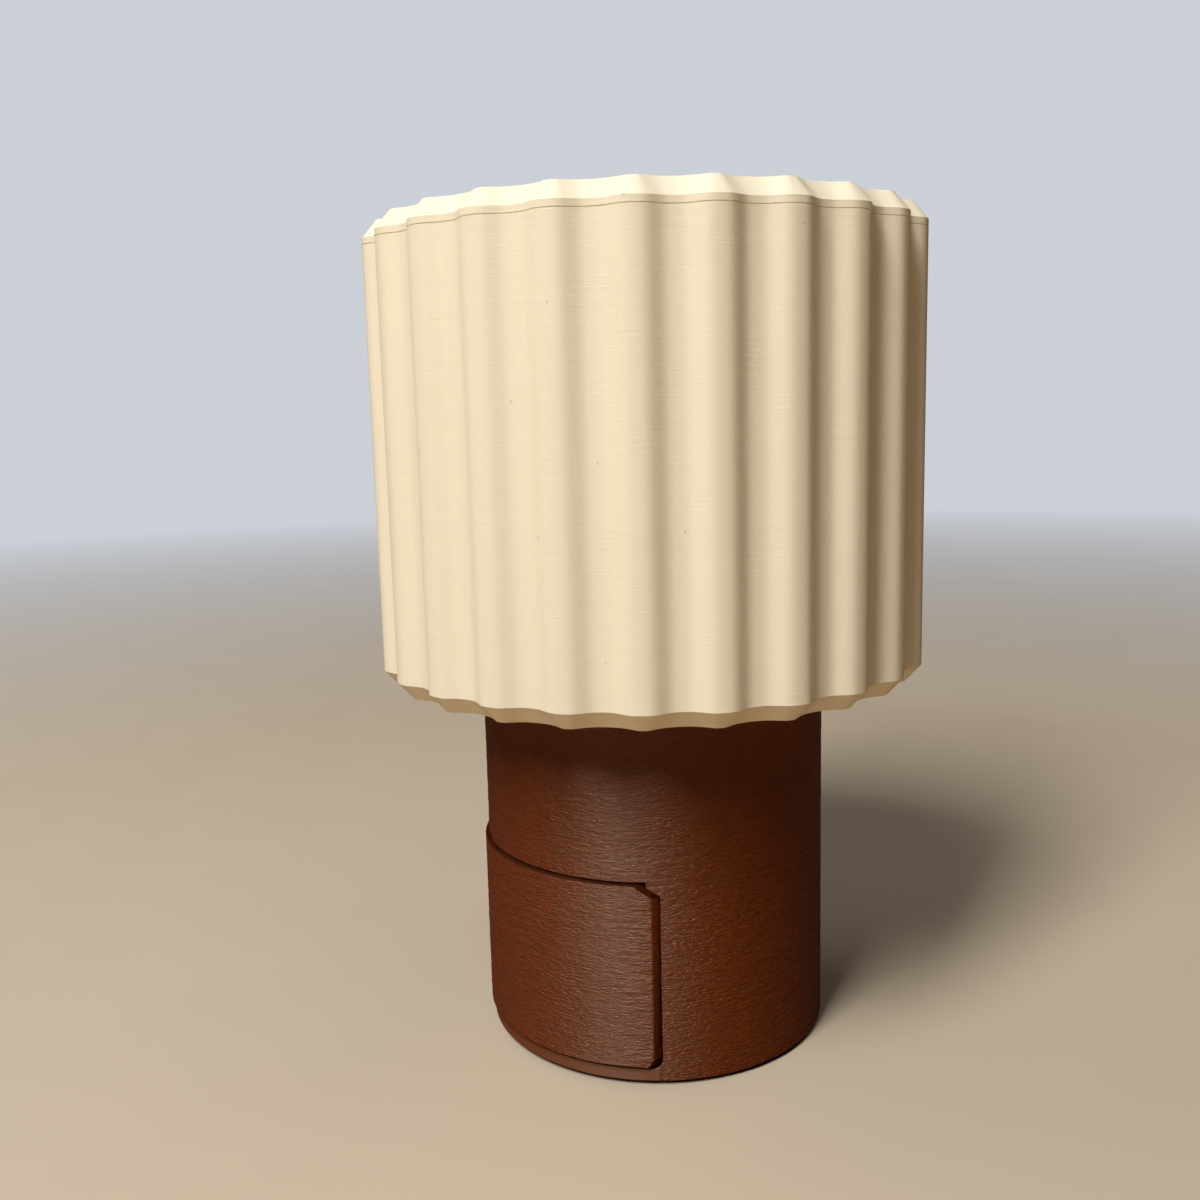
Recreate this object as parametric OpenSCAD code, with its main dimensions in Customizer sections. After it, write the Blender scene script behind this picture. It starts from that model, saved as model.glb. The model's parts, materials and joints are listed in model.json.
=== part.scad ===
// Small table lamp: fluted drum shade with a fitted lid, on a round base that holds one drawer.
// The lamp stands on z = 0 with its axis on Z. The drawer opens towards -Y, the switch faces +Y.

/* [Base] */
// Diameter of the round base
base_d = 90; // [86:1:96]
// Height of the seam between the two housings, which is the roof of the drawer opening
seam_z = 52; // [48:1:56]
// Height of the shoulder that carries the shade
shoulder_z = 97; // [94:1:102]
// Wall of both housings
base_wall = 3; // [2.4:0.2:3.4]
// Plate that separates the drawer from the upper housing
roof_t = 3.2; // [2.6:0.2:4]
// Broken edges of both housings, which show as a fine line at the seam
base_seam_edge = 0.15; // [0.1:0.05:0.3]
// Bevel round the foot of the base and round its shoulder
base_bevel = 1; // [0.5:0.25:1.5]
// Diameter of the neck that centres the shade
neck_d = 76; // [72:1:78]
// Height of the neck above the shoulder
neck_h = 10; // [9:0.5:14]

/* [Drawer] */
// Width of the drawer opening
opening_w = 70.2; // [66:0.2:71]
// Height of the sill under the drawer
sill_z = 4.4; // [4:0.2:6]
// Side of the sloped corner at the top of the opening
opening_cut = 2.2; // [1.4:0.2:3]
// Upright edge above each sloped corner
opening_blunt = 1.4; // [1:0.2:2]
// Width of the rounded corner at the bottom of the opening
opening_round_w = 1.5; // [1:0.25:2]
// Height of the rounded corner at the bottom of the opening
opening_round_h = 2.8; // [2:0.2:3.6]
// Gap between the drawer front and the opening
front_gap = 0.6; // [0.4:0.1:0.8]
// How far the drawer front stands proud of the base
front_proud = 1; // [0.6:0.2:2]
// Thickness of the drawer front
front_t = 3; // [2.4:0.2:4]
// How much more is cut off the corners of the drawer front than off the opening
front_cut_more = 1; // [0.6:0.1:1.6]
// Gap above the drawer front
roof_gap = 0.5; // [0.4:0.1:0.7]
// Broken edge round the drawer front
front_edge = 0.35; // [0.2:0.05:0.5]
// Depth of the wiring chamber behind the drawer bay
chamber_depth = 22; // [21:0.5:26]
// Wall behind the drawer bay
bay_wall = 2; // [1.6:0.2:2.4]
// Wall and floor of the drawer tray
tray_wall = 1.8; // [1.4:0.2:2.2]
// Gap between the tray and the sides of its bay
tray_gap = 0.5; // [0.3:0.1:0.8]
// Gap between the tray and the floor it slides on
slide_gap = 0.05; // [0.05:0.05:0.15]
// Room above the tray walls
tray_headroom = 5; // [4.4:0.2:8]
// Travel of the drawer to its stops
drawer_travel = 42; // [30:1:44]
// Width of each stop tab on the back of the tray
tab_w = 4; // [3:0.5:6]
// Distance between the stop tabs
tab_spacing = 44; // [30:1:50]
// Depth of the grooves that the stop tabs run in
tab_groove = 1.6; // [1.2:0.2:2]

/* [Shade] */
// Mean diameter of the fluted wall
shade_d = 138; // [132:1:144]
// Number of flutes
flutes = 25; // [20:1:28]
// Height of the flutes above and below the mean diameter
flute_rise = 1.45; // [0.8:0.05:1.5]
// How much steeper the sides of the flutes are than a plain wave's, as a share of their height
flute_full = 0.08; // [0:0.01:0.1]
// Turn of the flutes away from a hollow that faces the drawer, in degrees
flute_turn = -2; // [-7:0.5:7]
// Overall height of the shade with its lid
shade_h = 114.5; // [90:0.5:140]
// Wall of the shade
shade_wall = 1.6; // [1.2:0.1:2]
// Height of the slope at the bottom of the shade
bottom_slope_h = 4.25; // [4:0.25:6]
// How far the bottom slope turns in
bottom_slope_in = 3.8; // [3:0.1:4]
// Thickness of the flat lip that holds the carrier
lip_t = 2; // [1.2:0.2:2.4]
// Width of the flat lip inside the carrier's edge
lip_w = 6; // [4:0.5:10]
// Height of the lid from its seam to its top
lid_h = 6; // [5:0.25:9]
// Height of the slope round the top of the lid
top_slope_h = 4.3; // [3:0.1:4.5]
// How far the top slope turns in
top_slope_in = 3.6; // [2:0.1:4]
// Thickness of the lid plate
lid_plate = 2.4; // [1.6:0.2:3.2]
// Depth of the ring under the lid that drops into the shade
lid_ring_h = 4; // [3:0.5:8]
// Broken lower edge of the lid, which shows as the seam
seam_edge = 0.25; // [0.15:0.05:0.4]
// Thickness of the carrier plate
carrier_t = 2.4; // [2:0.2:3.2]
// Height of the carrier's collar above its plate
collar_h = 6; // [4:0.5:7]
// Wall of the collar
collar_wall = 3; // [2.6:0.2:4]
// Number of ribs between the collar and the plate
carrier_ribs = 12; // [6:2:16]
// Length of each rib
rib_l = 12; // [8:1:18]
// Gap of the parts that lift off
fit_gap = 0.4; // [0.3:0.1:0.6]
// Width of the keys that line the shade up with the drawer
key_w = 5; // [4:0.5:8]
// How far the keys stand out of the neck
key_t = 1.4; // [1:0.2:1.6]

/* [Light] */
// Thickness of the aluminium heat sink
sink_t = 2; // [1.6:0.2:3]
// Gap between the light board and the screws round it
led_board_gap = 1.8; // [1:0.2:5]
// Thickness of the circuit boards
board_t = 1.6; // [1:0.2:2]
// Chips in the outer ring
outer_chips = 14; // [8:1:16]
// Chips in the inner ring
inner_chips = 7; // [4:1:8]
// Height of the diffuser above the neck
diffuser_h = 24; // [18:1:40]
// Wall of the diffuser
diffuser_wall = 1.2; // [1:0.1:1.6]
// Radius of the diffuser's shoulder
diffuser_round = 16; // [8:1:17]

/* [Power and switch] */
// Height of the power socket above the table
inlet_z = 13; // [12:0.5:14]
// Width of the power socket
inlet_w = 8.9; // [8.4:0.1:9.2]
// Height of the power socket
inlet_h = 3.2; // [3:0.1:3.4]
// Width of the socket's circuit board
inlet_board_w = 24; // [22:1:28]
// Height of the socket's circuit board
inlet_board_h = 12; // [9:1:14]
// Height of the push switch above the table
switch_z = 33; // [32:0.5:36]
// Diameter of the push button
button_d = 9.7; // [8:0.1:10]
// Travel of the push button
button_travel = 1.5; // [1:0.1:1.6]
// How far the button stands out of its bezel
button_proud = 2.5; // [2:0.1:4]
// Gap round the button in its bezel
button_gap = 0.1; // [0.05:0.05:0.1]
// Diameter of the bezel's flange
bezel_d = 15.2; // [14.6:0.2:16]
// Diameter of the wires inside
wire_d = 2; // [1.6:0.1:2.2]

/* [Feet and screws] */
// Diameter of each rubber foot
foot_d = 12; // [8:1:13]
// Thickness of each rubber foot
foot_t = 1.6; // [1.2:0.1:2]
// How far the feet stand out of the base
foot_proud = 0.4; // [0.3:0.1:0.8]
// Distance of the feet from the lamp's axis
foot_ring_r = 34; // [28:1:35]
// Length of the housing screws
housing_screw_l = 20; // [18:1:22]
// Nominal diameter of the housing screws and the heat sink screws
screw_d = 3; // [2.5:0.5:3]
// Nominal diameter of the small screws
small_screw_d = 2; // [1.6:0.2:2]

/* [Hidden] */
$fn = 96;
eps = 0.01;
// Clearance of a screw in its own thread, and of fixed parts that nest
thread_gap = 0.05;
nest_gap = 0.1;

// Screws and their heads
screw_r = screw_d / 2;
small_screw_r = small_screw_d / 2;
head_r = screw_d * 0.92;
head_h = screw_d * 0.75;
small_head_r = small_screw_d * 0.95;
small_head_h = small_screw_d * 0.7;

// Base
base_r = base_d / 2;
inner_r = base_r - base_wall;
neck_r = neck_d / 2;
neck_top = shoulder_z + neck_h;
neck_in_r = neck_r - base_wall;
foot_angle = 28;

// Wiring chamber at the back, and the drawer bay in front of it
chamber_y = inner_r - chamber_depth;
chamber_hw = 30;
bay_back = chamber_y - bay_wall;

// Drawer opening, front and tray
opening_hw = opening_w / 2;
front_r = base_r + front_proud;
front_in_r = front_r - front_t;
front_hw = opening_hw - front_gap;
front_z0 = sill_z + front_gap;
front_z1 = seam_z - roof_gap;
front_cut = opening_cut + front_cut_more;
front_foot_cut = [opening_round_w - 0.5, opening_round_h - 0.5];
tray_hw = opening_hw - tray_gap;
tray_z0 = sill_z + slide_gap;
tray_z1 = seam_z - tray_headroom;
tray_back = bay_back - tray_gap;
tray_r = front_in_r - thread_gap;
tab_gap = 0.4;
drawer_screw_low = 10;
drawer_screw_high = 14;
drawer_screw_z = [front_z0 + drawer_screw_low, front_z1 - drawer_screw_high];

// Shade and lid; the carrier on the shade's lip rests on the shoulder
shade_r = shade_d / 2;
shade_z = shoulder_z - lip_t;
lid_z = shade_z + shade_h - lid_h;
shade_top = shade_z + shade_h;
steps_per_flute = 12;
ring_n = flutes * steps_per_flute;
slope_k = sqrt(pow(bottom_slope_in, 2) + pow(bottom_slope_h, 2)) / bottom_slope_h;
inner_turn_z = shade_z + bottom_slope_h * (1 + shade_wall * (slope_k - 1) / bottom_slope_in);
lip_offset = bottom_slope_in * (1 - lip_t / bottom_slope_h) + shade_wall * slope_k;
seat_r = shade_r - flute_rise - lip_offset;
carrier_r = seat_r - nest_gap;
lid_ring_r = shade_r - flute_rise - shade_wall - fit_gap;
lid_ring_wall = 1.6;
collar_in_r = neck_r + fit_gap;
collar_r = collar_in_r + collar_wall;

// Light
diffuser_r = neck_r - 0.3;
sink_r = diffuser_r - diffuser_wall - nest_gap;
sink_z = neck_top;
sink_boss_wall = 2.1;
sink_boss_lap = 0.2;
sink_screw_r = neck_in_r - screw_r - sink_boss_wall + sink_boss_lap;
led_board_z = sink_z + sink_t;
chip_z = led_board_z + board_t;
chip = [3.5, 2.8, 0.7];
led_board_r = sink_screw_r - head_r - led_board_gap;
outer_chip_inset = 5;
chip_ring_gap = 11;
outer_chip_r = led_board_r - outer_chip_inset;
inner_chip_r = outer_chip_r - chip_ring_gap;
board_screw_r = (outer_chip_r + inner_chip_r) / 2;
sink_screw_grip = 6;
sink_boss_h = 12;
sink_boss_taper = 3;
wire_hole_r = wire_d * 1.5;
roof_hole_r = wire_hole_r * 1.5;

// Power socket and switch, both on the centre line of the back
socket_l = 7;
socket_face_y = base_r - 0.3;
board_face_y = socket_face_y - socket_l;
socket_wall = 0.3;
inlet_screw_inset = 3;
inlet_screw_x = inlet_board_w / 2 - inlet_screw_inset;
inlet_screw_grip = 4.5;
inlet_boss_wall = 1.8;
bezel_face_y = base_r - 1;
bezel_t = 1.4;
barrel_wall = 0.95;
barrel_r = button_d / 2 + button_gap + barrel_wall;
barrel_l = 12;
pad_wall = 1.9;
pad_r = bezel_d / 2 + pad_wall;
pad_t = 6;
pad_y = base_r - pad_t;
nut_t = 2.5;
nut_wall = 2;
body_y = bezel_face_y - barrel_l;
body_side = 13;
body_l = 7;
terminal = [0.8, 3.6, 3];
terminal_x = 4;
wire_lap = 0.2;
wire_y = body_y - body_l - terminal[1] / 2 - wire_lap;
roof_hole = [0.5 - terminal_x, wire_y + 2.5];

// The four places of the housing screws, and the bosses round them
housing_screw_seat = seam_z - housing_screw_l / 2;
housing_screw_r = (opening_hw + base_r) / 2;
housing_screw_angles = [0, 50, 130, 180];
boss_wall = 1.6;
boss_r = head_r + boss_wall;
pilot_spare = 1;

// ---------- helpers ----------

// Extrudes a front view, drawn as (x, z), from y0 back to y1
module along_y(y0, y1) {
    translate([0, y1, 0])
        rotate([90, 0, 0])
            linear_extrude(y1 - y0)
                children();
}

// Cylinder whose axis lies on Y, from y0 to y1
module rod_y(r, y0, y1) {
    translate([0, y1, 0])
        rotate([90, 0, 0])
            cylinder(h = y1 - y0, r = r);
}

// Repeats its children on a circle, with X pointing outwards
module on_circle(r, angles) {
    for (a = angles)
        rotate([0, 0, a])
            translate([r, 0, 0])
                children();
}

// Pan-head screw that points down from the underside of its head
module pan_screw(r, l, hr, hh) {
    translate([0, 0, -l])
        cylinder(h = l + eps, r = r, $fn = 32);
    difference() {
        union() {
            cylinder(h = hh * 0.6, r = hr, $fn = 32);
            translate([0, 0, hh * 0.6])
                cylinder(h = hh * 0.4, r1 = hr, r2 = hr * 0.7, $fn = 32);
        }
        translate([0, 0, hh * 0.4])
            for (turn = [0, 90])
                rotate([0, 0, turn])
                    cube([hr * 1.1, hr * 0.28, hh * 1.4], center = true);
    }
}

// Mirrors a list of points drawn from bottom to top on the right, so that it closes on the left
function both_sides(pts) = concat(pts, [for (i = [len(pts) - 1 : -1 : 0]) [-pts[i][0], pts[i][1]]]);

// Right half of the opening: rounded at the sill, sloped below the roof
function opening_side(hw, z0, z1, grow) = concat(
    [for (a = [-90 : 15 : 0])
        [hw - opening_round_w + opening_round_w * cos(a), z0 + opening_round_h * (1 + sin(a))]],
    [[hw, z1 - opening_blunt - opening_cut],
     [hw - opening_cut, z1 - opening_blunt],
     [hw - opening_cut, z1 + grow]]);

// Right half of the drawer front: both corners cut off
front_side = [
    [front_hw - front_foot_cut[0], front_z0],
    [front_hw, front_z0 + front_foot_cut[1]],
    [front_hw, front_z1 - front_cut],
    [front_hw - front_cut, front_z1]];

// Right half of the tray, drawn in by d
function tray_side(d) = [
    [tray_hw - opening_round_w - d, tray_z0 + d],
    [tray_hw - d, tray_z0 + opening_round_h + d],
    [tray_hw - d, d > 0 ? seam_z : tray_z1]];

// Angle of a point on the shade's rings, the first of which lies in the hollow nearest the drawer
function ring_angle(i) = i * 360 / ring_n + flute_turn - 90;

// The fluted outline: radius at angle a, and its slope per radian
function flute_wave(a) = flutes * (a + 90 - flute_turn);
function flute_r(a) =
    let (w = flute_wave(a))
    shade_r - flute_rise * ((1 + flute_full) * cos(w) - flute_full * cos(3 * w));
function flute_slope(a) =
    let (w = flute_wave(a))
    flute_rise * flutes * ((1 + flute_full) * sin(w) - 3 * flute_full * sin(3 * w));

// Point of the outline, moved inwards by d at right angles to the wall
function flute_point(a, d, z) =
    let (r = flute_r(a), s = flute_slope(a), w = sqrt(r * r + s * s))
    [r * cos(a) - d * (r * cos(a) + s * sin(a)) / w,
     r * sin(a) - d * (r * sin(a) - s * cos(a)) / w,
     z];
function flute_ring(d, z) = [for (i = [0 : ring_n - 1]) flute_point(ring_angle(i), d, z)];
function round_ring(r, z) = [for (i = [0 : ring_n - 1]) [r * cos(ring_angle(i)), r * sin(ring_angle(i)), z]];

// Skin over a stack of rings, each with ring_n points: an endless band, or one closed by two flat ends
module ring_solid(rings, endless) {
    m = len(rings);
    n = len(rings[0]);
    last = endless ? m - 1 : m - 2;
    sides = [for (i = [0 : last], j = [0 : n - 1])
        let (a = i * n + j, b = i * n + (j + 1) % n, c = ((i + 1) % m) * n, p = c + j, q = c + (j + 1) % n)
        each [[a, p, q], [a, q, b]]];
    ends = endless ? [] : [[for (j = [0 : n - 1]) j], [for (j = [n - 1 : -1 : 0]) (m - 1) * n + j]];
    polyhedron(points = [for (ring = rings) each ring], faces = concat(sides, ends));
}

// Smooth curve through the points of a route, k steps from one to the next
function curve_point(p, i, t) =
    let (last = len(p) - 1,
         a = p[max(i - 1, 0)], b = p[i], c = p[i + 1], d = p[min(i + 2, last)])
    0.5 * (2 * b + (c - a) * t + (2 * a - 5 * b + 4 * c - d) * t * t
           + (3 * b - a - 3 * c + d) * t * t * t);
function curve(p, k) = concat(
    [for (i = [0 : len(p) - 2], s = [0 : k - 1]) curve_point(p, i, s / k)],
    [p[len(p) - 1]]);

// Round wire along a route that never runs along X
module wire(route, d) {
    sides = 8;
    path = curve(route, 4);
    m = len(path);
    rings = [for (i = [0 : m - 1])
        let (t0 = path[min(i + 1, m - 1)] - path[max(i - 1, 0)],
             t = t0 / norm(t0),
             u0 = [1, 0, 0] - t[0] * t,
             u = u0 / norm(u0),
             v = cross(t, u))
        [for (j = [0 : sides - 1])
            path[i] + d / 2 * (cos(j * 360 / sides) * u + sin(j * 360 / sides) * v)]];
    ring_solid(rings, false);
}

// Flat oval seen from the back, w wide and h high
module oval(w, h) {
    square([w - h, h], center = true);
    for (side = [-1, 1])
        translate([side * (w - h) / 2, 0])
            circle(d = h, $fn = 32);
}

module housing_screw_places() {
    on_circle(housing_screw_r, housing_screw_angles)
        children();
}

module foot_places() {
    on_circle(foot_ring_r, [foot_angle, 180 - foot_angle, 180 + foot_angle, 360 - foot_angle])
        children();
}

module sink_screw_places() {
    on_circle(sink_screw_r, [30, 150, 270])
        children();
}

module board_screw_places() {
    on_circle(board_screw_r, [90, 210, 330])
        children();
}

// ---------- base ----------

// The round housing up to the seam: drawer bay in front, wiring chamber behind it
module lower_housing() {
    color("saddlebrown")
    difference() {
        union() {
            difference() {
                lower_body();
                drawer_bay();
                wiring_chamber();
            }
            rear_columns();
            switch_pad();
            inlet_bosses();
        }
        housing_screw_holes();
        foot_recesses();
        inlet_holes();
        switch_holes();
    }
}

module lower_body() {
    rotate_extrude()
        polygon([[0, foot_proud], [base_r - base_bevel, foot_proud], [base_r, foot_proud + base_bevel],
                 [base_r, seam_z - base_seam_edge], [base_r - base_seam_edge, seam_z], [0, seam_z]]);
}

module drawer_bay() {
    along_y(-base_r - 1, bay_back)
        polygon(both_sides(opening_side(opening_hw, sill_z, seam_z, 1)));
}

module wiring_chamber() {
    intersection() {
        translate([0, 0, sill_z])
            cylinder(h = seam_z, r = inner_r);
        translate([-chamber_hw, chamber_y, sill_z])
            cube([2 * chamber_hw, base_r, seam_z]);
    }
}

// Columns for the two rear housing screws, inside the round wall
module rear_columns() {
    intersection() {
        on_circle(housing_screw_r, [50, 130])
            translate([0, 0, foot_proud + base_bevel])
                cylinder(h = seam_z - foot_proud - base_bevel, r = boss_r, $fn = 48);
        cylinder(h = seam_z, r = inner_r + eps);
    }
}

// Flat pad inside the wall that the switch nut tightens on
module switch_pad() {
    intersection() {
        translate([0, 0, switch_z])
            rod_y(pad_r, pad_y, base_r);
        cylinder(h = seam_z, r = inner_r + eps);
    }
}

module inlet_bosses() {
    intersection() {
        for (side = [-1, 1])
            translate([side * inlet_screw_x, 0, inlet_z])
                rod_y(small_screw_r + inlet_boss_wall, board_face_y, base_r, $fn = 32);
        cylinder(h = seam_z, r = inner_r + eps);
    }
}

module housing_screw_holes() {
    housing_screw_places() {
        translate([0, 0, -1])
            cylinder(h = seam_z + 2, r = screw_r + 0.2, $fn = 32);
        translate([0, 0, -1])
            cylinder(h = housing_screw_seat + 1, r = head_r + 0.3, $fn = 48);
    }
}

module foot_recesses() {
    foot_places()
        translate([0, 0, -1])
            cylinder(h = foot_t + 1, d = foot_d + 0.2, $fn = 64);
}

module inlet_holes() {
    translate([0, 0, inlet_z])
        along_y(board_face_y, base_r + 1)
            oval(inlet_w + 0.3, inlet_h + 0.3);
    for (side = [-1, 1])
        translate([side * inlet_screw_x, 0, inlet_z])
            rod_y(small_screw_r + thread_gap, board_face_y - 1,
                  board_face_y + inlet_screw_grip + small_screw_r / 2, $fn = 32);
}

module switch_holes() {
    translate([0, 0, switch_z]) {
        rod_y(barrel_r + nest_gap, pad_y - 1, base_r + 1, $fn = 64);
        rod_y(bezel_d / 2 + 0.2, bezel_face_y, base_r + 1, $fn = 64);
    }
}

// The round housing above the seam, with the shoulder and the neck
module upper_housing() {
    color("saddlebrown")
    difference() {
        union() {
            upper_body();
            roof_bosses();
            sink_bosses();
            neck_keys();
        }
        roof_screw_holes();
        sink_screw_holes();
        tab_grooves();
        translate([roof_hole[0], roof_hole[1], seam_z - 1])
            cylinder(h = roof_t + 2, r = roof_hole_r, $fn = 48);
    }
}

module upper_body() {
    slope = inner_r - neck_in_r;
    rotate_extrude()
        polygon([[0, seam_z], [base_r - base_seam_edge, seam_z], [base_r, seam_z + base_seam_edge],
                 [base_r, shoulder_z - base_bevel],
                 [base_r - base_bevel, shoulder_z], [neck_r, shoulder_z], [neck_r, neck_top],
                 [neck_in_r, neck_top], [neck_in_r, shoulder_z - base_wall],
                 [inner_r, shoulder_z - base_wall - slope], [inner_r, seam_z + roof_t],
                 [0, seam_z + roof_t]]);
}

module roof_bosses() {
    intersection() {
        housing_screw_places()
            translate([0, 0, seam_z])
                cylinder(h = housing_screw_l / 2 + pilot_spare + 1.5, r = boss_r, $fn = 48);
        cylinder(h = shoulder_z, r = inner_r + eps);
    }
}

// Bosses for the heat sink screws on the inside of the neck, sloped below for printing
module sink_bosses() {
    intersection() {
        sink_screw_places()
            translate([0, 0, neck_top - sink_boss_h]) {
                translate([0, 0, sink_boss_taper])
                    cylinder(h = sink_boss_h - sink_boss_taper, r = screw_r + sink_boss_wall, $fn = 48);
                cylinder(h = sink_boss_taper + eps, r1 = screw_r * 0.4, r2 = screw_r + sink_boss_wall, $fn = 48);
            }
        cylinder(h = neck_top, r = neck_in_r + eps);
    }
}

// Keys in front and behind, which hold the shade's turn against the drawer
module neck_keys() {
    for (turn = [0, 180])
        rotate([0, 0, turn])
            translate([-key_w / 2, neck_r - 1, shoulder_z - eps])
                cube([key_w, key_t + 1, carrier_t + collar_h]);
}

module roof_screw_holes() {
    housing_screw_places()
        translate([0, 0, seam_z - 1])
            cylinder(h = housing_screw_l / 2 + pilot_spare + 1, r = screw_r + thread_gap, $fn = 32);
}

module sink_screw_holes() {
    sink_screw_places()
        translate([0, 0, neck_top - sink_screw_grip - pilot_spare])
            cylinder(h = sink_boss_h, r = screw_r + thread_gap, $fn = 32);
}

// Grooves under the roof that guide the stop tabs and end where the drawer stops
module tab_grooves() {
    for (side = [-1, 1])
        translate([side * tab_spacing / 2 - tab_w / 2 - tab_gap,
                   tray_back - tray_wall - drawer_travel - tab_gap, seam_z - 1])
            cube([tab_w + 2 * tab_gap, tray_wall + drawer_travel + 2 * tab_gap, tab_groove + 1]);
}

module feet() {
    color("dimgray")
    foot_places()
        rotate_extrude($fn = 64)
            polygon([[0, 0], [foot_d / 2 - 0.3, 0], [foot_d / 2, 0.3], [foot_d / 2, foot_t], [0, foot_t]]);
}

module housing_screws() {
    color("silver")
    housing_screw_places()
        translate([0, 0, housing_screw_seat])
            rotate([180, 0, 0])
                pan_screw(screw_r, housing_screw_l, head_r, head_h);
}

// ---------- drawer ----------

// Curved panel: the opening's outline cut from a tube that shares the lamp's axis
module drawer_front() {
    e = front_edge;
    color("sienna")
    difference() {
        intersection() {
            rotate_extrude()
                polygon([[front_in_r, front_z0], [front_r - e, front_z0], [front_r, front_z0 + e],
                         [front_r, front_z1 - e], [front_r - e, front_z1], [front_in_r, front_z1]]);
            along_y(-front_r - 1, 0)
                polygon(both_sides(front_side));
            front_plan();
        }
        for (z = drawer_screw_z)
            translate([0, 0, z])
                rod_y(small_screw_r + thread_gap, -front_in_r - front_t * 0.7, 0, $fn = 32);
    }
}

// Plan of the front: straight sides, with the edge broken where they meet the round face
module front_plan() {
    corner = asin(front_hw / front_r);
    start = corner - front_edge * 180 / (PI * front_r);
    linear_extrude(seam_z)
        polygon(both_sides([
            [front_r * sin(start) - front_edge, -front_r - 1],
            [front_r * sin(start), -front_r * cos(start)],
            [front_hw, -front_r * cos(corner) + front_edge],
            [front_hw, 0]]));
}

// Open box behind the front, round at the front so that it nests in the panel
module drawer_tray() {
    color("peru")
    difference() {
        union() {
            difference() {
                tray_block(0, tray_r, tray_back);
                tray_block(tray_wall, tray_r - tray_wall, tray_back - tray_wall);
            }
            tray_tabs();
        }
        for (z = drawer_screw_z)
            translate([0, 0, z]) {
                rod_y(small_screw_r + 0.1, -tray_r - 1, -tray_r + tray_wall + 1, $fn = 32);
                rod_y(small_head_r + 0.3, -tray_r + tray_wall, -tray_r + tray_wall + 1, $fn = 32);
            }
    }
}

module tray_block(d, r, back) {
    intersection() {
        along_y(-base_r, back)
            polygon(both_sides(tray_side(d)));
        translate([0, 0, tray_z0])
            cylinder(h = seam_z, r = r);
    }
}

// Tabs on the back wall that stop the drawer at the ends of their grooves
module tray_tabs() {
    for (side = [-1, 1])
        translate([side * tab_spacing / 2 - tab_w / 2, tray_back - tray_wall, tray_z1 - 2])
            cube([tab_w, tray_wall, seam_z + tab_groove - tab_gap - tray_z1 + 2]);
}

module drawer_screws() {
    color("silver")
    for (z = drawer_screw_z)
        translate([0, -tray_r + tray_wall, z])
            rotate([-90, 0, 0])
                pan_screw(small_screw_r, tray_wall + front_t * 0.5, small_head_r, small_head_h);
}

// ---------- shade ----------

// Fluted drum: the wall, a slope that turns in at the bottom, and a flat lip for the carrier
module shade_shell() {
    color("wheat")
    ring_solid([
        flute_ring(bottom_slope_in, shade_z),
        round_ring(seat_r - lip_w, shade_z),
        round_ring(seat_r - lip_w, shoulder_z),
        round_ring(seat_r, shoulder_z),
        flute_ring(shade_wall, inner_turn_z),
        flute_ring(shade_wall, lid_z),
        flute_ring(0, lid_z),
        flute_ring(0, shade_z + bottom_slope_h)], true);
}

// Cap with the same flutes: a short band, a slope, and a ring that drops into the shade
module shade_lid() {
    color("wheat")
    ring_solid([
        flute_ring(top_slope_in, shade_top),
        flute_ring(0, shade_top - top_slope_h),
        flute_ring(0, lid_z + seam_edge),
        flute_ring(seam_edge, lid_z),
        round_ring(lid_ring_r, lid_z),
        round_ring(lid_ring_r, lid_z - lid_ring_h),
        round_ring(lid_ring_r - lid_ring_wall, lid_z - lid_ring_h),
        round_ring(lid_ring_r - lid_ring_wall, shade_top - lid_plate)], false);
}

// Plate on the lip, with a keyed collar round the neck and ribs between them
module shade_carrier() {
    color("antiquewhite")
    difference() {
        union() {
            translate([0, 0, shoulder_z])
                cylinder(h = carrier_t, r = carrier_r);
            translate([0, 0, shoulder_z])
                cylinder(h = carrier_t + collar_h, r = collar_r);
            carrier_rib_set();
        }
        translate([0, 0, shoulder_z - 1])
            cylinder(h = carrier_t + collar_h + 2, r = collar_in_r);
        for (turn = [0, 180])
            rotate([0, 0, turn])
                translate([-key_w / 2 - fit_gap, 0, shoulder_z - 1])
                    cube([key_w + 2 * fit_gap, neck_r + key_t + fit_gap, carrier_t + collar_h + 2]);
    }
}

module carrier_rib_set() {
    rib_t = 1.6;
    for (i = [0 : carrier_ribs - 1])
        rotate([0, 0, (i + 0.5) * 360 / carrier_ribs])
            translate([0, rib_t / 2, shoulder_z])
                rotate([90, 0, 0])
                    linear_extrude(rib_t)
                        polygon([[collar_r - 1, 0], [collar_r + rib_l, 0], [collar_r + rib_l, carrier_t],
                                 [collar_r, carrier_t + collar_h - 1], [collar_r - 1, carrier_t + collar_h - 1]]);
}

// ---------- light ----------

module heat_sink() {
    color("silver")
    difference() {
        translate([0, 0, sink_z])
            cylinder(h = sink_t, r = sink_r);
        translate([0, 0, sink_z - 1])
            cylinder(h = sink_t + 2, r = wire_hole_r, $fn = 32);
        sink_screw_places()
            translate([0, 0, sink_z - 1])
                cylinder(h = sink_t + 2, r = screw_r + 0.2, $fn = 32);
        board_screw_places()
            translate([0, 0, sink_z - 1])
                cylinder(h = sink_t + 2, r = small_screw_r + thread_gap, $fn = 32);
    }
}

module heat_sink_screws() {
    color("gray")
    sink_screw_places()
        translate([0, 0, sink_z + sink_t])
            pan_screw(screw_r, sink_t + sink_screw_grip, head_r, head_h);
}

module led_board() {
    color("white")
    difference() {
        translate([0, 0, led_board_z])
            cylinder(h = board_t, r = led_board_r);
        board_screw_places()
            translate([0, 0, led_board_z - 1])
                cylinder(h = board_t + 2, r = small_screw_r + 0.1, $fn = 32);
    }
}

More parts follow.
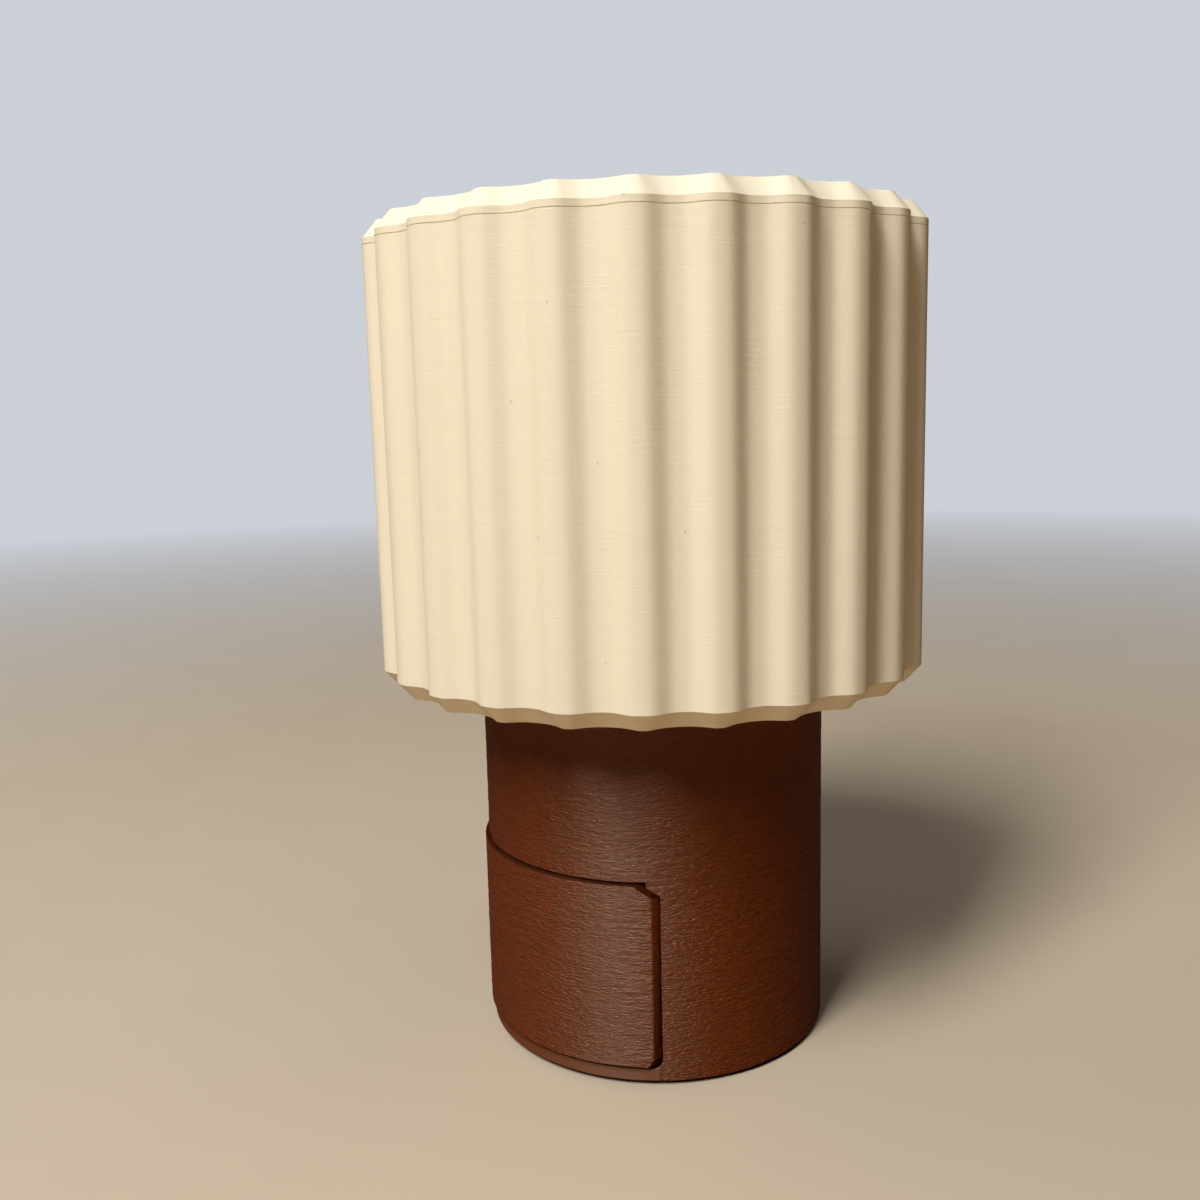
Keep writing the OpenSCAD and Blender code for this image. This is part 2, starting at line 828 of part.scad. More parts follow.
module led_board_screws() {
    color("gray")
    board_screw_places()
        translate([0, 0, chip_z])
            pan_screw(small_screw_r, board_t + sink_t, small_head_r, small_head_h);
}

module led_chips() {
    color("gold") {
        chip_ring(outer_chip_r, outer_chips, 0);
        chip_ring(inner_chip_r, inner_chips, 180 / inner_chips);
    }
}

module chip_ring(r, count, start) {
    on_circle(r, [for (i = [0 : count - 1]) start + i * 360 / count])
        translate([-chip[0] / 2, -chip[1] / 2, chip_z])
            cube(chip);
}

// Opal cover that snaps over the heat sink and stands on the neck
module diffuser() {
    color("ivory")
    translate([0, 0, neck_top])
        rotate_extrude()
            difference() {
                diffuser_outline(0);
                diffuser_outline(diffuser_wall);
            }
}

module diffuser_outline(d) {
    r = diffuser_r - d;
    h = diffuser_h - d;
    c = diffuser_round - d;
    square([r, h - c]);
    square([r - c, h]);
    intersection() {
        translate([r - c, h - c])
            circle(r = c, $fn = 64);
        square([r, h]);
    }
    if (d > 0)
        translate([0, -1])
            square([r, 2]);
}

// ---------- power and switch ----------

module inlet_board() {
    color("darkgreen")
    difference() {
        translate([0, 0, inlet_z])
            along_y(board_face_y - board_t, board_face_y)
                square([inlet_board_w, inlet_board_h], center = true);
        for (side = [-1, 1])
            translate([side * inlet_screw_x, 0, inlet_z])
                rod_y(small_screw_r + 0.1, board_face_y - board_t - 1, board_face_y + 1, $fn = 32);
    }
}

module inlet_shell() {
    color("silver")
    translate([0, 0, inlet_z])
        difference() {
            along_y(board_face_y, socket_face_y)
                oval(inlet_w, inlet_h);
            along_y(board_face_y + 1, socket_face_y + 1)
                oval(inlet_w - 2 * socket_wall, inlet_h - 2 * socket_wall);
        }
}

module inlet_tongue() {
    color("black")
    translate([0, 0, inlet_z])
        along_y(board_face_y + 1, socket_face_y - 1.2)
            square([inlet_w - 2.2, 0.7], center = true);
}

module inlet_screws() {
    color("silver")
    for (side = [-1, 1])
        translate([side * inlet_screw_x, board_face_y - board_t, inlet_z])
            rotate([90, 0, 0])
                pan_screw(small_screw_r, board_t + inlet_screw_grip, small_head_r, small_head_h);
}

// Threaded barrel with a round flange that sits in a flat on the back of the base
module switch_bezel() {
    color("dimgray")
    translate([0, 0, switch_z])
        difference() {
            union() {
                rod_y(barrel_r, body_y, bezel_face_y + eps, $fn = 64);
                rod_y(bezel_d / 2, bezel_face_y, bezel_face_y + bezel_t * 0.6, $fn = 64);
                translate([0, bezel_face_y + bezel_t, 0])
                    rotate([90, 0, 0])
                        cylinder(h = bezel_t * 0.4 + eps, r1 = bezel_d / 2 - 0.8, r2 = bezel_d / 2, $fn = 64);
            }
            rod_y(button_d / 2 + button_gap, body_y - 1, bezel_face_y + bezel_t + 1, $fn = 64);
        }
}

module switch_nut() {
    color("silver")
    translate([0, 0, switch_z])
        difference() {
            rod_y(barrel_r + nut_wall, pad_y - nut_t, pad_y, $fn = 6);
            rod_y(barrel_r + thread_gap, pad_y - nut_t - 1, pad_y + 1, $fn = 64);
        }
}

module switch_body() {
    color("black")
    translate([-body_side / 2, body_y - body_l, switch_z - body_side / 2])
        cube([body_side, body_l, body_side]);
}

module switch_terminals() {
    color("goldenrod")
    for (side = [-1, 1])
        translate([side * terminal_x - terminal[0] / 2, body_y - body_l - terminal[1],
                   switch_z - terminal[2] / 2])
            cube(terminal);
}

// Round button that is pressed towards -Y and springs back
module switch_button() {
    r = button_d / 2;
    tip = bezel_face_y + bezel_t + button_proud;
    foot = body_y + button_travel + 0.2;
    color("black")
    translate([0, 0, switch_z])
        rotate([-90, 0, 0])
            rotate_extrude($fn = 64)
                polygon([[0, foot], [r, foot], [r, tip - 0.8], [r - 0.25, tip - 0.3], [r - 0.8, tip],
                         [r * 0.5, tip - 0.2], [0, tip - 0.3]]);
}

// Wire from the socket's board to the lower side of the switch
module switch_lead() {
    back = board_face_y - board_t;
    start_z = inlet_z + 3.5;
    end_z = switch_z - terminal[2] / 2;
    color("firebrick")
    wire([[terminal_x, back, start_z],
          [terminal_x, back - 2, start_z],
          [terminal_x, back - 4, start_z],
          [terminal_x, (back + wire_y) / 2, start_z + 1.5],
          [terminal_x, wire_y, end_z - 7],
          [terminal_x, wire_y, end_z - 3],
          [terminal_x, wire_y, end_z]], wire_d);
}

// Wire from the upper side of the switch through the roof to the light board
module led_lead() {
    start_z = switch_z + terminal[2] / 2;
    color("firebrick")
    wire([[-terminal_x, wire_y, start_z],
          [-terminal_x, wire_y, start_z + 2],
          [-terminal_x, wire_y, start_z + 4],
          [roof_hole[0], roof_hole[1] - 1, seam_z - 3],
          [roof_hole[0], roof_hole[1], seam_z + roof_t + 2],
          [roof_hole[0] * 0.8, roof_hole[1] * 0.75, (2 * seam_z + shoulder_z) / 3],
          [roof_hole[0] * 0.4, roof_hole[1] * 0.3, (seam_z + 2 * shoulder_z) / 3],
          [0, 0, led_board_z - 8],
          [0, 0, led_board_z - 4],
          [0, 0, led_board_z]], wire_d);
}

lower_housing();
upper_housing();
feet();
housing_screws();
drawer_front();
drawer_tray();
drawer_screws();
shade_shell();
shade_carrier();
shade_lid();
heat_sink();
heat_sink_screws();
led_board();
led_board_screws();
led_chips();
diffuser();
inlet_board();
inlet_shell();
inlet_tongue();
inlet_screws();
switch_bezel();
switch_nut();
switch_body();
switch_terminals();
switch_button();
switch_lead();
led_lead();
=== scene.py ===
"""Looks of a small printed table lamp: a fluted cream shade with a lid, on a round brown base with a drawer.

Lengths are in metres, in the frame of the construction model: the lamp stands on z = 0 with its axis on Z,
the drawer opens towards -Y and the switch faces +Y.
"""

import json
import math

import bmesh
import bpy
import numpy as np
from mathutils import Matrix, Vector


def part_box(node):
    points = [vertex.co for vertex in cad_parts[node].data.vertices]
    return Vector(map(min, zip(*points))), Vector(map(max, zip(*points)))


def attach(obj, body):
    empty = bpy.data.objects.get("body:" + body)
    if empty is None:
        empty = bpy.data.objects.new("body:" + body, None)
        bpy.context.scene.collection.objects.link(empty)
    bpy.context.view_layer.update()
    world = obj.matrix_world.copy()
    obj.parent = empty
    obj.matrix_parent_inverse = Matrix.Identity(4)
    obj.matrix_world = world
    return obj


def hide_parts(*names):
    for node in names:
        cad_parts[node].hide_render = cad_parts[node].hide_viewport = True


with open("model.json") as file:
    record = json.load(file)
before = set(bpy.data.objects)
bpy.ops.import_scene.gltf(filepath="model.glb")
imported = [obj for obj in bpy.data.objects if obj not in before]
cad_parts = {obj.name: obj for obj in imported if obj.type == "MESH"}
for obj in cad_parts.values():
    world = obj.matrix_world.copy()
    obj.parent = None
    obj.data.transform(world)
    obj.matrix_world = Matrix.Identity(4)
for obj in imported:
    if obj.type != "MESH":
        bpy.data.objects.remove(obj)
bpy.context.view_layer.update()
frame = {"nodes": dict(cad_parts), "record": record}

MM = 0.001

# ---------- sizes read from the frame ----------

shell_lo, shell_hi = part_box("shade_shell")
lid_lo, lid_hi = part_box("shade_lid")
carrier_lo, carrier_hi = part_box("shade_carrier")

BASE_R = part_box("lower_housing")[1].x
FRONT_R = -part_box("drawer_front")[0].y
SHADE_Z = shell_lo.z
LID_Z = shell_hi.z
SHADE_TOP = lid_hi.z
# The carrier lies on the shell's lip, in a round seat with this gap round it
CARRIER_GAP = 0.1 * MM
LIP_TOP = carrier_lo.z
SEAT_R = carrier_hi.x + CARRIER_GAP

# ---------- sizes shared with the construction model ----------

# Flutes round the shade, how far they rise above and sink below its radius, and the share of the third
# harmonic, which makes the sides of the hollows steeper
FLUTES = 25
FLUTE_RISE = 1.45 * MM
FLUTE_FULL = 0.08
# Angle of the hollow nearest the drawer
FLUTE_START = math.radians(-92)
SHADE_R = 69 * MM
SHADE_WALL = 1.6 * MM
LIP_IN_R = 57.4 * MM
# Heights of the sloped rims, and how far they turn in
BOTTOM_SLOPE_H = 4.25 * MM
BOTTOM_SLOPE_IN = 3.8 * MM
TOP_SLOPE_H = 4.3 * MM
TOP_SLOPE_IN = 3.6 * MM
# Small slope at the lid's lower edge, which draws the seam line
SEAM_EDGE = 0.25 * MM
LID_PLATE = 2.4 * MM
LID_RING_WALL = 1.6 * MM
LID_GAP = 0.4 * MM
LID_RING_R = SHADE_R - FLUTE_RISE - SHADE_WALL - LID_GAP
# Opening of the drawer, the top of the plain sill below it, and where the sill ends at both sides
OPENING_HALF_WIDTH = 35.1 * MM
SILL_Z = 4.4 * MM
SILL_END_Y = -28.4 * MM

# ---------- materials ----------

BROWN = (0.143, 0.0245, 0.002)
CREAM = (0.80, 0.70, 0.53)


class Finish:
    """A Principled material that its maker fills with noise, ramps and bumps. Lengths are in millimetres."""

    def __init__(self, name, color, roughness, **sockets):
        self.material = bpy.data.materials.new(name)
        self.material.use_nodes = True
        self.tree = self.material.node_tree
        self.shader = self.tree.nodes["Principled BSDF"]
        self.set(base_color=(*color, 1), roughness=roughness, **sockets)
        place = self.node("TexCoord").outputs["Object"]
        self.place = self.vector("MULTIPLY", place, (1 / MM,) * 3)

    def node(self, kind, **settings):
        """A new node of a kind, with its settings."""
        node = self.tree.nodes.new("ShaderNode" + kind)
        for name, value in settings.items():
            setattr(node, name, value)
        return node

    def fill(self, node, inputs):
        """Links or sets the inputs of a node, given by label or number."""
        for key, value in inputs.items():
            if isinstance(value, bpy.types.NodeSocket):
                self.tree.links.new(value, node.inputs[key])
            else:
                node.inputs[key].default_value = value
        return node

    def set(self, **sockets):
        """Links or sets the shader's inputs, so that base_color is the one with the label Base Color."""
        labels = {name: name.replace("_", " ").title().replace("Ior", "IOR") for name in sockets}
        self.fill(self.shader, {labels[name]: value for name, value in sockets.items()})

    def vector(self, operation, a, b=(0, 0, 0), result="Vector"):
        return self.fill(self.node("VectorMath", operation=operation), {0: a, 1: b}).outputs[result]

    def math(self, operation, a, b=0.0, clamp=False):
        return self.fill(self.node("Math", operation=operation, use_clamp=clamp), {0: a, 1: b}).outputs[0]

    def noise(self, size, detail=2.0, stretch=(1, 1, 1), wavy=0.0):
        """Noise from 0 to 1, with blobs about size across that are drawn out by stretch and bent by wavy."""
        place = self.vector("MULTIPLY", self.place, tuple(1 / (size * s) for s in stretch))
        inputs = {"Vector": place, "Scale": 1, "Detail": detail, "Distortion": wavy}
        return self.fill(self.node("TexNoise"), inputs).outputs[0]

    def dots(self, spacing):
        """Distance to the nearest of many scattered points, as a share of their spacing."""
        place = self.vector("MULTIPLY", self.place, (1 / spacing,) * 3)
        return self.fill(self.node("TexVoronoi"), {"Vector": place, "Scale": 1}).outputs["Distance"]

    def axis(self, name):
        """One coordinate, in millimetres."""
        return self.fill(self.node("SeparateXYZ"), {0: self.place}).outputs[name]

    def facing_out(self):
        """1 where the surface faces straight away from the lamp's axis, or towards it."""
        normal = self.node("NewGeometry").outputs["True Normal"]
        away = self.vector("NORMALIZE", self.vector("MULTIPLY", self.place, (1, 1, 0)))
        return self.math("ABSOLUTE", self.vector("DOT_PRODUCT", normal, away, "Value"))

    def ramp(self, value, low, high, out_low=0.0, out_high=1.0):
        """Maps low..high to out_low..out_high and holds the ends."""
        inputs = {0: value, 1: low, 2: high, 3: out_low, 4: out_high}
        return self.fill(self.node("MapRange"), inputs).outputs[0]

    def blend(self, share, a, b):
        """Colour a turning into colour b as share goes from 0 to 1."""
        a, b = ((*c, 1) if isinstance(c, tuple) else c for c in (a, b))
        return self.fill(self.node("Mix", data_type="RGBA"), {0: share, 6: a, 7: b}).outputs[2]

    def bump(self, height, depth):
        """Raises the surface by depth where height is 1. Later bumps add to earlier ones."""
        node = self.fill(self.node("Bump"), {"Distance": depth * MM, "Height": height})
        before = self.shader.inputs["Normal"].links
        if before:
            self.fill(node, {"Normal": before[0].from_socket})
        self.set(normal=node.outputs[0])


def tone(color, k):
    """The colour k times as bright."""
    return tuple(c * k for c in color)


def base_print():
    """Brown print with streaks about 1.5 mm long and 0.4 mm high on its wall, painted shade in their pits, on
    its edges and on the faces in its gaps, and a plain sill.
    """
    f = Finish("base_print", BROWN, 0.5, specular_ior_level=0.9, anisotropic=0.9, anisotropic_rotation=0.25)
    wall = f.ramp(f.facing_out(), 0.7, 0.8)
    sill_z, sill_y = SILL_Z / MM, SILL_END_Y / MM
    low = f.ramp(f.axis("Z"), sill_z, sill_z + 0.3, 1.0, 0.0)
    front = f.ramp(f.axis("Y"), sill_y - 1.0, sill_y + 1.0, 1.0, 0.0)
    rough = f.math("SUBTRACT", wall, f.math("MULTIPLY", low, front), clamp=True)
    streaks = f.ramp(f.noise(0.62, 3, (2.4, 2.4, 0.64), 0.45), 0.36, 0.6)
    ridges = f.ramp(rough, 0.0, 1.0, 0.6, streaks)
    # Colour darker in the low parts of the streaks and a little lighter on their tops: painted shade in the
    # pits
    pit_shaded_color = f.blend(ridges, tone(BROWN, 0.7), tone(BROWN, 1.05))
    uneven = f.ramp(f.noise(0.8, 2, (2, 2, 0.7)), 0.3, 0.7, 0.36, 0.5)
    matte = f.ramp(rough, 0.0, 1.0, 0.9, 0.0)
    # Faces that don't face outwards, the edges and the sides of the gaps, get a far darker brown: painted
    # shade
    f.set(base_color=f.blend(wall, tone(BROWN, 0.28), pit_shaded_color),
          roughness=f.math("MAXIMUM", uneven, matte),
          specular_tint=f.blend(wall, (0.1, 0.09, 0.07), (1.0, 0.93, 0.74)),
          tangent=f.node("Tangent", direction_type="RADIAL", axis="Z").outputs[0])
    f.bump(ridges, 0.11)
    f.bump(f.math("MULTIPLY", f.noise(0.3, 2, (2.4, 2.4, 0.9)), rough), 0.05)
    return f.material


def layer_print(name, color, roughness, strength):
    """Smooth print with fine layer lines, soft bands, and a few dark specks."""
    f = Finish(name, color, roughness)
    lines = f.noise(0.36, 1, (20, 20, 1))
    bands = f.noise(2.4, 2, (30, 30, 1))
    base = f.blend(f.noise(26, 2, (1, 1, 3)), tone(color, 0.97), tone(color, 1.02))
    specks = f.ramp(f.dots(9.0), 0.02, 0.045, 0.5, 0.0)
    f.set(base_color=f.blend(specks, base, tone(color, 0.45)),
          roughness=f.ramp(bands, 0.3, 0.7, roughness - 0.04, roughness + 0.05))
    f.bump(lines, 0.04 * strength)
    f.bump(bands, 0.03 * strength)
    f.bump(f.noise(0.6, 2), 0.012)
    return f.material


def shade_print():
    return layer_print("shade_print", CREAM, 0.55, 1.0)


def carrier_print():
    return layer_print("carrier_print", tone(CREAM, 0.92), 0.6, 1.2)


def tray_print():
    return layer_print("tray_print", BROWN, 0.45, 1.2)


def rubber():
    f = Finish("foot_rubber", (0.02, 0.02, 0.021), 0.8)
    f.set(roughness=f.ramp(f.noise(3, 2), 0.3, 0.7, 0.7, 0.9))
    f.bump(f.noise(0.5, 3), 0.05)
    return f.material


def metal(name, color, roughness, grain):
    """Metal with fine marks drawn out by grain along each axis."""
    f = Finish(name, color, roughness, metallic=1.0)
    marks = f.noise(0.4, 3, grain)
    f.set(base_color=f.blend(marks, tone(color, 0.85), color),
          roughness=f.ramp(marks, 0.3, 0.7, roughness - 0.08, roughness + 0.1))
    f.bump(marks, 0.01)
    return f.material


def board(name, color):
    """Circuit board with a soft weave below its mask."""
    f = Finish(name, color, 0.38)
    weave = f.math("MULTIPLY", f.noise(0.5, 1, (4, 1, 1)), f.noise(0.5, 1, (1, 4, 4)))
    f.set(base_color=f.blend(weave, tone(color, 0.85), tone(color, 1.1)))
    f.bump(weave, 0.02)
    return f.material


def plastic(name, color, roughness):
    """Moulded plastic with a fine spark-eroded grain."""
    f = Finish(name, color, roughness)
    grain = f.noise(0.3, 2)
    f.set(base_color=f.blend(f.noise(5, 2), tone(color, 0.9), tone(color, 1.1)),
          roughness=f.ramp(grain, 0.3, 0.7, roughness - 0.05, roughness + 0.08))
    f.bump(grain, 0.02)
    return f.material


MATERIALS = {
    "base_print": base_print(),
    "tray_print": tray_print(),
    "shade_print": shade_print(),
    "carrier_print": carrier_print(),
    "foot_rubber": rubber(),
    "steel": metal("steel", (0.62, 0.61, 0.58), 0.3, (1, 1, 4)),
    "sink_aluminium": metal("sink_aluminium", (0.72, 0.73, 0.75), 0.35, (6, 6, 1)),
    "brass": metal("brass", (0.75, 0.55, 0.22), 0.3, (1, 4, 1)),
    "white_board": board("white_board", (0.8, 0.8, 0.77)),
    "green_board": board("green_board", (0.015, 0.12, 0.04)),
    "phosphor": plastic("phosphor", (0.8, 0.55, 0.08), 0.3),
    "opal": plastic("opal", (0.82, 0.8, 0.76), 0.45),
    "black_plastic": plastic("black_plastic", (0.015, 0.015, 0.016), 0.4),
    "wire_sleeve": plastic("wire_sleeve", (0.35, 0.02, 0.02), 0.5),
}

for part in frame["record"]["subparts"]:
    slots = frame["nodes"][part["node"]].data.materials
    slots.clear()
    slots.append(MATERIALS[part["material_slot"]])


# ---------- meshes and pieces ----------

def loft(rings, endless):
    """Mesh over rings of equally many points: an endless band, or a body with two ends."""
    n, m = len(rings[0]), len(rings)
    faces = []
    for i in range(m if endless else m - 1):
        low, high = i * n, (i + 1) % m * n
        faces += [(low + j, low + (j + 1) % n, high + (j + 1) % n, high + j) for j in range(n)]
    if not endless:
        faces += [tuple(reversed(range(n))), tuple(range((m - 1) * n, m * n))]
    mesh = bpy.data.meshes.new("loft")
    mesh.from_pydata(np.concatenate(rings).tolist(), [], faces)
    mesh.validate()
    mesh.update()
    return mesh


def dress(mesh, node, body, slot, sharp):
    """Makes the mesh a piece that stands for the node. Edges sharper than sharp, in degrees, stay sharp."""
    mesh.name = node + "_print"
    mesh.materials.clear()
    mesh.materials.append(MATERIALS[slot])
    mesh.shade_smooth()
    mesh.set_sharp_from_angle(angle=math.radians(sharp))
    piece = bpy.data.objects.new(node + "_print", mesh)
    bpy.context.scene.collection.objects.link(piece)
    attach(piece, body)
    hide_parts(node)


# ---------- printed skins of the base ----------

# Points round the rough wall, and the height between its rows
SKIN_COLUMNS = 440
SKIN_ROW = 0.22 * MM
# How far the grain starts below the plain wall, and how much deeper it goes
SKIN_CLEAR = 0.04 * MM
SKIN_DEPTH = 0.15 * MM
# How far the rough cylinder reaches past both ends of the piece that it cuts
SKIN_OVERLAP = 3 * MM
# Edges sharper than this, in degrees, stay sharp
SKIN_SHARP = 50
# Blur of the grain in columns and in rows
GRAIN_ACROSS = 2.0
GRAIN_UP = 0.9
# Standard deviations from the lowest to the highest point of the grain
GRAIN_SPREAD = 5
# Corners of a node's mesh that are closer than this are one
WELD_DISTANCE = 1e-6


def grain(rows, seed):
    """Height field from 0 to 1 that closes round the lamp, made of random dots that are blurred."""
    dots = np.random.default_rng(seed).standard_normal((rows, SKIN_COLUMNS))
    fy = np.fft.fftfreq(rows)[:, None]
    fx = np.fft.fftfreq(SKIN_COLUMNS)[None, :]
    blur = np.exp(-2 * (math.pi ** 2) * ((fx * GRAIN_ACROSS) ** 2 + (fy * GRAIN_UP) ** 2))
    field = np.fft.ifft2(np.fft.fft2(dots) * blur).real
    return np.clip(0.5 + field / field.std() / GRAIN_SPREAD, 0, 1)


def nowhere(a, z):
    return np.zeros(np.broadcast(a, z).shape)


def below_drawer(a, z):
    """1 on the plain sill below the drawer."""
    half = math.asin(OPENING_HALF_WIDTH / BASE_R)
    off_front = np.abs((a + math.pi / 2 + math.pi) % (2 * math.pi) - math.pi)
    return ((z < SILL_Z + SKIN_ROW) & (off_front < half)).astype(float)


def rough_cylinder(radius, z0, z1, seed, flat):
    """Closed cylinder whose wall has the print's grain, apart from where flat(angle, z) is 1."""
    rows = round((z1 - z0) / SKIN_ROW) + 1
    a = np.linspace(0, 2 * math.pi, SKIN_COLUMNS, endpoint=False)[None, :]
    z = np.linspace(z0, z1, rows)[:, None]
    depth = SKIN_DEPTH * grain(rows, seed) * (1 - flat(a, z))
    r = radius - SKIN_CLEAR - depth
    rings = np.stack([r * np.cos(a), r * np.sin(a), np.broadcast_to(z, r.shape)], 2)
    return loft(list(rings), endless=False)


def weld(mesh):
    """Joins the corners that the frame's file keeps apart."""
    b = bmesh.new()
    b.from_mesh(mesh)
    bmesh.ops.remove_doubles(b, verts=b.verts, dist=WELD_DISTANCE)
    b.to_mesh(mesh)
    b.free()


def printed_skin(node, body, radius, seed, flat=nowhere):
    """Dresses a node in a copy of itself that a rough cylinder cuts back by a fraction of a millimetre."""
    z0, z1 = (corner.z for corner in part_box(node))
    cutter_mesh = rough_cylinder(radius, z0 - SKIN_OVERLAP, z1 + SKIN_OVERLAP, seed, flat)
    cutter = bpy.data.objects.new("cutter", cutter_mesh)
    blank = bpy.data.objects.new("blank", frame["nodes"][node].data.copy())
    for o in (cutter, blank):
        bpy.context.scene.collection.objects.link(o)
    weld(blank.data)
    cut = blank.modifiers.new("cut", "BOOLEAN")
    cut.operation, cut.solver, cut.object = "INTERSECT", "MANIFOLD", cutter
    mesh = bpy.data.meshes.new_from_object(blank.evaluated_get(bpy.context.evaluated_depsgraph_get()))
    for o in (cutter, blank):
        bpy.data.objects.remove(o)
    dress(mesh, node, body, "base_print", SKIN_SHARP)


printed_skin("lower_housing", "base", BASE_R, seed=11, flat=below_drawer)
printed_skin("upper_housing", "base", BASE_R, seed=12)
printed_skin("drawer_front", "drawer", FRONT_R, seed=13)

# ---------- shade and lid with finer flutes ----------

# Points along one flute
FLUTE_STEPS = 40
# Edges sharper than this, in degrees, stay sharp
SHADE_SHARP = 30
RING_ANGLES = FLUTE_START + np.arange(FLUTES * FLUTE_STEPS) * 2 * math.pi / (FLUTES * FLUTE_STEPS)


def flute_ring(inwards, z):
    """Points of the fluted outline moved inwards at right angles to the wall."""
    a = RING_ANGLES
    wave = FLUTES * (a - FLUTE_START)
    r = SHADE_R - FLUTE_RISE * ((1 + FLUTE_FULL) * np.cos(wave) - FLUTE_FULL * np.cos(3 * wave))
    slope = FLUTE_RISE * FLUTES * ((1 + FLUTE_FULL) * np.sin(wave) - 3 * FLUTE_FULL * np.sin(3 * wave))
    w = np.hypot(r, slope)
    x = r * np.cos(a) - inwards * (r * np.cos(a) + slope * np.sin(a)) / w
    y = r * np.sin(a) - inwards * (r * np.sin(a) - slope * np.cos(a)) / w
    return np.stack([x, y, np.full_like(a, z)], 1)


def round_ring(r, z):
    a = RING_ANGLES
    return np.stack([r * np.cos(a), r * np.sin(a), np.full_like(a, z)], 1)


def fluted_shell():
    """The drum's wall, the slope that turns in at its bottom, and the flat lip for the carrier."""
    # The inside turns from the slope to the wall where both are equally thick
    slope_k = math.hypot(BOTTOM_SLOPE_IN, BOTTOM_SLOPE_H) / BOTTOM_SLOPE_H
    inner_turn_z = SHADE_Z + BOTTOM_SLOPE_H * (1 + SHADE_WALL * (slope_k - 1) / BOTTOM_SLOPE_IN)
    rings = [
        flute_ring(BOTTOM_SLOPE_IN, SHADE_Z),
        round_ring(LIP_IN_R, SHADE_Z),
        round_ring(LIP_IN_R, LIP_TOP),
        round_ring(SEAT_R, LIP_TOP),
        flute_ring(SHADE_WALL, inner_turn_z),
        flute_ring(SHADE_WALL, LID_Z),
        flute_ring(0, LID_Z),
        flute_ring(0, SHADE_Z + BOTTOM_SLOPE_H),
    ]
    dress(loft(rings, endless=True), "shade_shell", "shade", "shade_print", SHADE_SHARP)


def fluted_lid():
    """The cap with its sloped rim, and the ring below it that drops into the shell."""
    rings = [
        flute_ring(TOP_SLOPE_IN, SHADE_TOP),
        flute_ring(0, SHADE_TOP - TOP_SLOPE_H),
        flute_ring(0, LID_Z + SEAM_EDGE),
        flute_ring(SEAM_EDGE, LID_Z),
        round_ring(LID_RING_R, LID_Z),
        round_ring(LID_RING_R, lid_lo.z),
        round_ring(LID_RING_R - LID_RING_WALL, lid_lo.z),
        round_ring(LID_RING_R - LID_RING_WALL, SHADE_TOP - LID_PLATE),
    ]
    dress(loft(rings, endless=False), "shade_lid", "lid", "shade_print", SHADE_SHARP)


fluted_shell()
fluted_lid()

# ---------- floor, light and camera ----------

# Direction of the camera from the lamp's axis, in degrees from -Y towards +X
CAMERA_AZIMUTH = 50.05
CAMERA_DISTANCE = 320.0 * MM
CAMERA_HEIGHT = 163.7 * MM
# How far the camera looks down, left of the axis, and leans, in degrees
CAMERA_DOWN = 8.98
CAMERA_LEFT = 2.38
CAMERA_LEAN = -1.44
# In pixels of the photograph
PHOTO_WIDTH = 1200
FOCAL_LENGTH = 1217.8
# In millimetres, as the camera's lens setting is
SENSOR_WIDTH = 36.0

# The lights stand this far from the point on the axis that they face
LIGHT_DISTANCE = 1.9
LIGHT_AIM = Vector((0, 0, 110 * MM))

# Half the width of the floor, and the distances between which it turns into the backdrop
FLOOR_REACH = 20.0
FLOOR_FADE_FROM = 0.35
FLOOR_FADE_TO = 1.6
FLOOR_COLOR = (0.52, 0.42, 0.31)
# Warmer colour that the floor throws on the lamp, and the share of it that shows as a reflection
FLOOR_BOUNCE = (0.46, 0.31, 0.172)
FLOOR_IN_GLOSS = 0.06

BACKDROP_COLOR = (0.60, 0.63, 0.68)
# Even light on the lamp, and the strength of the backdrop where it shows as a reflection
AMBIENT_COLOR = (1.0, 0.86, 0.72)
AMBIENT = 0.015
GLOSS_LEVEL = 0.03


def around(azimuth, elevation=0.0):
    """Unit vector from the lamp: azimuth in degrees to the right of the camera, elevation above the table."""
    a, e = math.radians(CAMERA_AZIMUTH + azimuth), math.radians(elevation)
    return Vector((math.sin(a) * math.cos(e), -math.cos(a) * math.cos(e), math.sin(e)))


def make_camera():
    """Camera with the photograph's view. From facing the axis it turns left, looks down and leans."""
    to_right, to_lamp, up = around(90), -around(0), Vector((0, 0, 1))
    yaw, pitch, lean = (math.radians(v) for v in (CAMERA_LEFT, CAMERA_DOWN, CAMERA_LEAN))
    right = math.cos(yaw) * to_right + math.sin(yaw) * to_lamp
    level = -math.sin(yaw) * to_right + math.cos(yaw) * to_lamp
    forward = math.cos(pitch) * level - math.sin(pitch) * up
    above = math.sin(pitch) * level + math.cos(pitch) * up
    image_right = math.cos(lean) * right + math.sin(lean) * above
    image_up = -math.sin(lean) * right + math.cos(lean) * above
    camera = bpy.data.objects.new("camera", bpy.data.cameras.new("camera"))
    bpy.context.scene.collection.objects.link(camera)
    camera.data.sensor_width = SENSOR_WIDTH
    camera.data.lens = SENSOR_WIDTH * FOCAL_LENGTH / PHOTO_WIDTH
    camera.data.clip_start = 1 * MM
    camera.location = CAMERA_DISTANCE * around(0) + CAMERA_HEIGHT * up
    camera.rotation_mode = "QUATERNION"
    camera.rotation_quaternion = Matrix(list(zip(image_right, image_up, -forward))).to_quaternion()
    bpy.context.scene.camera = camera


